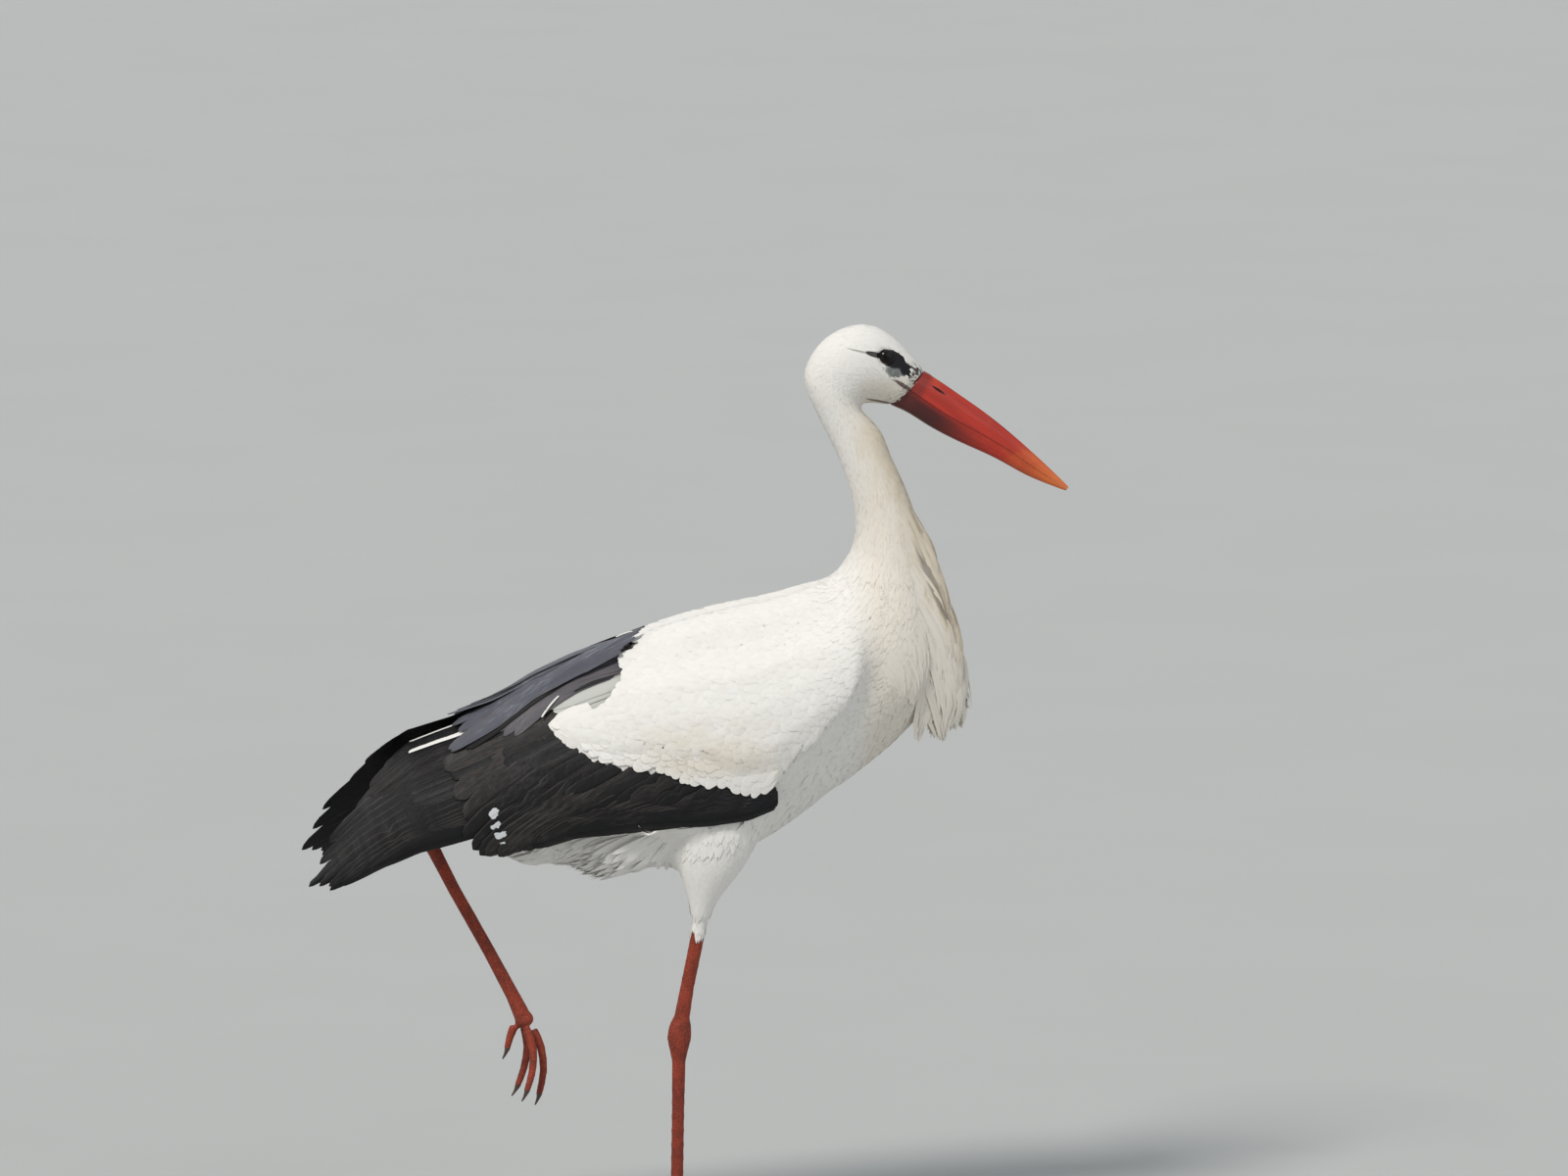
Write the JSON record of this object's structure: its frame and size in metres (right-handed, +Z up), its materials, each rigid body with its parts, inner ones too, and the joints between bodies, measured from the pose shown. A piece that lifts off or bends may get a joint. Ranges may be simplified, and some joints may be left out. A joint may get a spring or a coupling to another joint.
{
  "type": "white stork model",
  "caption": "Life-size standing model of a white stork in mid-step on one leg, with folded black and white wings, a long straight bill and a trailing raised leg.",
  "frame": {"origin": "on the sole of the ball of the standing foot, at floor level", "axes": "+X the way the bird faces, +Y its left side, +Z up"},
  "size_m": [0.7394, 0.1902, 0.9224],
  "materials": {
    "white_plumage": "soft matt white plumage",
    "cream_plumes": "loose cream breast feathers",
    "black_plumage": "black flight feathers with a faint gloss",
    "dark_plumage": "dark shoulder feathers with a silver bloom",
    "bill_horn": "smooth red horn",
    "leg_skin": "scaly red skin",
    "claw_horn": "dark horn",
    "eye_dark": "wet and dark"
  },
  "bodies": {
    "root": {"ankle_left": "leg_skin", "ankle_right": "leg_skin", "bill_lower": "bill_horn", "bill_upper": "bill_horn", "breast": "white_plumage", "breast_plumes": "cream_plumes", "claw_hind_left": "claw_horn", "claw_hind_right": "claw_horn", "claw_inner_left": "claw_horn", "claw_inner_right": "claw_horn", "claw_middle_left": "claw_horn", "claw_middle_right": "claw_horn", "claw_outer_left": "claw_horn", "claw_outer_right": "claw_horn", "coverts_left": "white_plumage", "coverts_right": "white_plumage", "eye_left": "eye_dark", "eye_right": "eye_dark", "foot_left": "leg_skin", "foot_right": "leg_skin", "head": "white_plumage", "mantle_left": "white_plumage", "mantle_right": "white_plumage", "neck_lower": "white_plumage", "neck_upper": "white_plumage", "primaries_left": "black_plumage", "primaries_right": "black_plumage", "scapulars_left": "dark_plumage", "scapulars_right": "dark_plumage", "secondaries_left": "black_plumage", "secondaries_right": "black_plumage", "shank_left": "leg_skin", "shank_right": "leg_skin", "tail": "white_plumage", "tarsus_left": "leg_skin", "tarsus_right": "leg_skin", "thigh_left": "white_plumage", "thigh_right": "white_plumage", "toe_hind_left": "leg_skin", "toe_hind_right": "leg_skin", "toe_inner_left": "leg_skin", "toe_inner_right": "leg_skin", "toe_middle_left": "leg_skin", "toe_middle_right": "leg_skin", "toe_outer_left": "leg_skin", "toe_outer_right": "leg_skin", "trunk": "white_plumage"}
  },
  "joints": []
}
